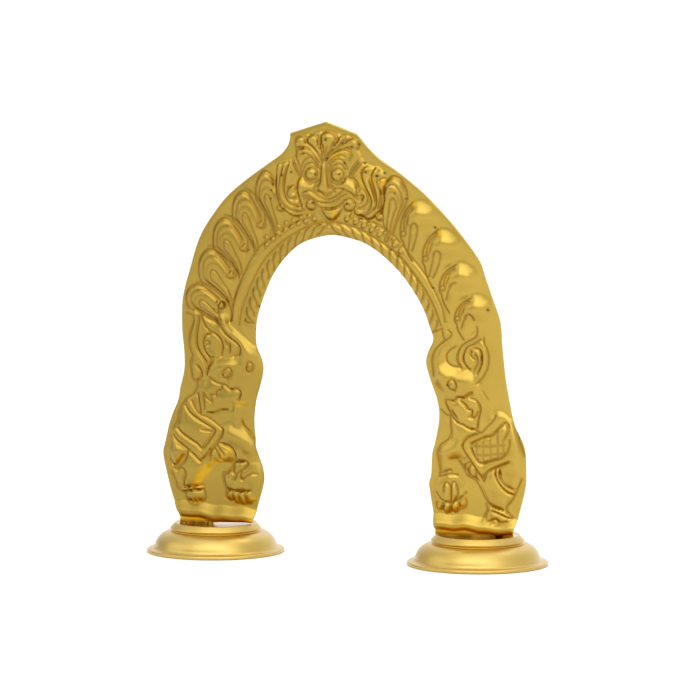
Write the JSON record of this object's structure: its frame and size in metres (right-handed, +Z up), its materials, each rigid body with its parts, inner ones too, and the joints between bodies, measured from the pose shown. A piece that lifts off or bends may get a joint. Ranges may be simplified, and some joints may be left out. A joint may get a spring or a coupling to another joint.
{
  "type": "prabhavali",
  "caption": "Embossed brass sheet arch with a mask, feathers and beasts in relief, soldered by its feet to hollow spun pedestals, to stand behind a small idol.",
  "frame": {"origin": "on the shelf, midway between the axes of the two pedestals", "axes": "+Z up, +X from the left pedestal to the right one seen from the front, front faces -Y"},
  "size_m": [0.168, 0.056, 0.1743],
  "materials": {
    "gilt_sheet": "polished gold-toned brass, pressed in relief",
    "satin_brass": "satin spun brass with a polished top",
    "solder": "soft solder, dull grey"
  },
  "bodies": {
    "root": {"arch_sheet": "gilt_sheet", "left_pedestal": "satin_brass", "right_pedestal": "satin_brass", "left_solder_seam": "solder", "right_solder_seam": "solder"}
  },
  "joints": []
}
